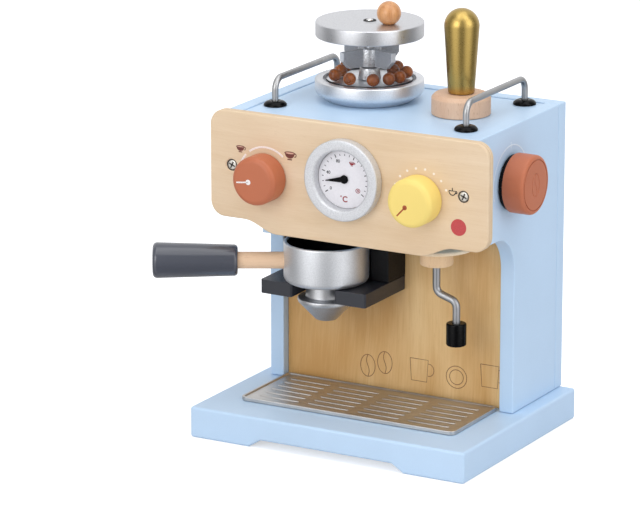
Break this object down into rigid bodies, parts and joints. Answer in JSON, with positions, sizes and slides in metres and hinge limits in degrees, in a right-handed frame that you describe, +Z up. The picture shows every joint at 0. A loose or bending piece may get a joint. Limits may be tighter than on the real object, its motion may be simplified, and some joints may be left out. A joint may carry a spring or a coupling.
{
  "type": "toy coffee maker",
  "caption": "Painted wooden toy espresso machine with a grinder hopper, knobs, a gauge, a portafilter in a fork, a swivelling steam wand, cup rails, a tamper and a drip tray.",
  "frame": {"origin": "middle of the footprint, on the surface that the machine stands on", "axes": "+Z up, +X to the right seen from the front, -Y towards the front"},
  "size_m": [0.2892, 0.1998, 0.3378],
  "materials": {
    "blue_paint": "pale blue satin paint on wooden board",
    "plywood": "clear matt lacquer on birch plywood",
    "beech": "clear matt lacquer on turned beech",
    "terracotta_paint": "terracotta satin paint on turned wood",
    "yellow_paint": "yellow satin paint on turned wood",
    "silver_paint": "silver paint on turned wood",
    "gold_paint": "gold paint on turned wood",
    "charcoal_paint": "charcoal satin paint on turned wood",
    "black_paint": "black satin paint on wood",
    "black_plastic": "black moulded plastic",
    "steel": "bright steel wire and screws",
    "tray_steel": "pressed bright steel sheet",
    "dial_white": "white printed disc",
    "clear_acrylic": "clear polished acrylic tube",
    "bean_paint": "brown gloss lacquer on wooden beads"
  },
  "bodies": {
    "machine": {"base_board": "blue_paint", "side_board_left": "blue_paint", "side_board_right": "blue_paint", "top_board": "blue_paint", "back_board": "blue_paint", "head_floor_board": "blue_paint", "group_board": "blue_paint", "inner_back_panel": "plywood", "front_panel": "plywood", "panel_screw_left": "steel", "panel_screw_right": "steel", "gauge_ring": "silver_paint", "gauge_dial": "dial_white", "cup_rail_left": "steel", "cup_rail_right": "steel", "rail_grommet_left_front": "black_plastic", "rail_grommet_left_rear": "black_plastic", "rail_grommet_right_front": "black_plastic", "rail_grommet_right_rear": "black_plastic", "hopper_dish": "silver_paint", "hopper_tube": "clear_acrylic", "bean_bead_01": "bean_paint", "bean_bead_02": "bean_paint", "bean_bead_03": "bean_paint", "bean_bead_04": "bean_paint", "bean_bead_05": "bean_paint", "bean_bead_06": "bean_paint", "bean_bead_07": "bean_paint", "bean_bead_08": "bean_paint", "bean_bead_09": "bean_paint", "bean_bead_10": "bean_paint", "bean_bead_11": "bean_paint", "group_block": "black_paint", "group_fork": "black_paint", "wand_spacer": "steel", "wand_disc": "beech", "wand_collar": "beech"},
    "gauge_needle": {"gauge_pointer": "black_plastic"},
    "brew_control": {"brew_knob": "terracotta_paint", "brew_knob_screw": "steel"},
    "steam_control": {"steam_knob": "yellow_paint", "steam_knob_screw": "steel"},
    "side_control": {"side_knob": "terracotta_paint", "side_knob_washer": "black_plastic", "side_knob_screw": "steel"},
    "grinder": {"hopper_lid": "silver_paint", "lid_ball_knob": "beech", "lid_screw": "steel", "stirrer_spindle": "silver_paint", "stirrer_paddles": "silver_paint"},
    "tamper": {"tamper_foot": "beech", "tamper_handle": "gold_paint"},
    "portafilter_carrier": {"portafilter_spout": "silver_paint"},
    "portafilter": {"portafilter_basket": "silver_paint", "portafilter_dowel": "beech", "portafilter_handle": "charcoal_paint"},
    "steam_wand": {"steam_wand_rod": "steel", "steam_wand_tip": "black_plastic"},
    "tray": {"drip_tray": "tray_steel"}
  },
  "joints": [
    {"name": "gauge_pointer_turn", "type": "hinge", "parent": "machine", "child": "gauge_needle", "pos_m": [0.01415, -0.05627, 0.2148], "axis": [0, -1, 0], "range_deg": [-234, 36]},
    {"name": "brew_knob_turn", "type": "hinge", "parent": "machine", "child": "brew_control", "pos_m": [-0.05685, -0.05627, 0.2073], "axis": [0, -1, 0], "continuous": true},
    {"name": "steam_knob_turn", "type": "hinge", "parent": "machine", "child": "steam_control", "pos_m": [0.07805, -0.05627, 0.2073], "axis": [0, -1, 0], "continuous": true},
    {"name": "side_knob_turn", "type": "hinge", "parent": "machine", "child": "side_control", "pos_m": [0.12325, 0.00533, 0.2123], "axis": [1, 0, 0], "continuous": true},
    {"name": "grinder_turn", "type": "hinge", "parent": "machine", "child": "grinder", "pos_m": [-0.01505, 0.03453, 0.2555], "axis": [0, 0, 1], "continuous": true},
    {"name": "tamper_lift", "type": "slide", "parent": "machine", "child": "tamper", "axis": [0, 0, 1], "range_m": [0, 0.06]},
    {"name": "portafilter_slide", "type": "slide", "parent": "machine", "child": "portafilter_carrier", "axis": [0, -1, 0], "range_m": [0, 0.07]},
    {"name": "portafilter_turn", "type": "hinge", "parent": "portafilter_carrier", "child": "portafilter", "pos_m": [-0.02145, -0.02267, 0.1216], "axis": [0, 0, 1], "range_deg": [-28, 64]},
    {"name": "steam_wand_swivel", "type": "hinge", "parent": "machine", "child": "steam_wand", "pos_m": [0.06865, -0.01057, 0.17], "axis": [0, 0, 1], "continuous": true},
    {"name": "drip_tray_lift", "type": "slide", "parent": "machine", "child": "tray", "axis": [0, 0, 1], "range_m": [0, 0.03]}
  ]
}
